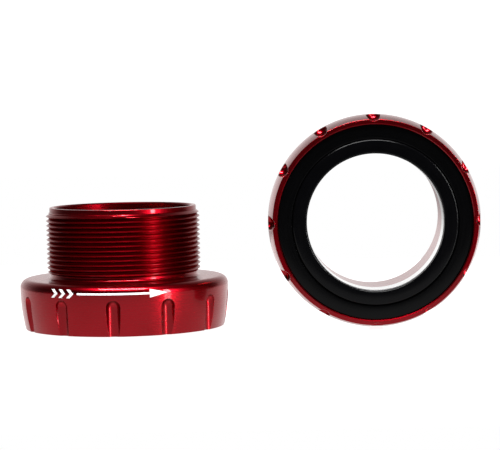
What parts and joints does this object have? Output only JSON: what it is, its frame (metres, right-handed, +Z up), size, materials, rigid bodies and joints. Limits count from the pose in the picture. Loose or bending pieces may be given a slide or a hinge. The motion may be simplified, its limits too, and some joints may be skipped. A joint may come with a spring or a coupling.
{
  "type": "bottom bracket",
  "caption": "Threaded outboard bottom bracket for a bicycle: a pair of flanged cups, each with a sealed ball bearing, dust cover and collar for a thick crank spindle.",
  "frame": {"origin": "on the surface that both cups stand on, midway between the left cup's vertical axis and the right cup's axis", "axes": "+X from the left cup to the right cup, +Z up along the left cup's axis, -Y the way the right cup's outboard face looks"},
  "size_m": [0.1038, 0.0472, 0.0472],
  "materials": {
    "anodised_red": "turned, bead-smooth and red anodised, satin gloss",
    "cover_black": "satin moulded",
    "collar_black": "satin, smooth rounded lips",
    "bearing_steel": "ground and polished",
    "ball_ceramic": "lapped, polished",
    "cage_nylon": "moulded",
    "seal_rubber": "moulded"
  },
  "bodies": {
    "left_housing": {"left_cup": "anodised_red", "left_outer_race": "bearing_steel", "left_outboard_seal": "seal_rubber", "left_inboard_seal": "seal_rubber", "left_dust_cover": "cover_black"},
    "left_rotor": {"left_inner_race": "bearing_steel", "left_spindle_collar": "collar_black", "left_spindle_o_ring": "seal_rubber"},
    "left_ball_set": {"left_balls": "ball_ceramic", "left_ball_cage": "cage_nylon"},
    "right_housing": {"right_cup": "anodised_red", "right_outer_race": "bearing_steel", "right_outboard_seal": "seal_rubber", "right_inboard_seal": "seal_rubber", "right_dust_cover": "cover_black"},
    "right_rotor": {"right_inner_race": "bearing_steel", "right_spindle_collar": "collar_black", "right_spindle_o_ring": "seal_rubber"},
    "right_ball_set": {"right_balls": "ball_ceramic", "right_ball_cage": "cage_nylon"}
  },
  "joints": [
    {"name": "right_cup_lift", "type": "slide", "parent": "left_housing", "child": "right_housing", "axis": [0, 0, 1], "range_m": [0, 0.05]},
    {"name": "left_rotor_spin", "type": "hinge", "parent": "left_housing", "child": "left_rotor", "pos_m": [-0.0283, 0, 0.0057], "axis": [0, 0, 1], "continuous": true},
    {"name": "left_ball_set_spin", "type": "hinge", "parent": "left_housing", "child": "left_ball_set", "pos_m": [-0.0283, 0, 0.0057], "axis": [0, 0, 1], "continuous": true},
    {"name": "right_rotor_spin", "type": "hinge", "parent": "right_housing", "child": "right_rotor", "pos_m": [0.0283, -0.0123, 0.0236], "axis": [0, 1, 0], "continuous": true},
    {"name": "right_ball_set_spin", "type": "hinge", "parent": "right_housing", "child": "right_ball_set", "pos_m": [0.0283, -0.0123, 0.0236], "axis": [0, 1, 0], "continuous": true}
  ],
  "couplings": [
    {"joint": "left_ball_set_spin", "follows": "left_rotor_spin", "ratio": 0.4514},
    {"joint": "right_ball_set_spin", "follows": "right_rotor_spin", "ratio": 0.4514}
  ]
}
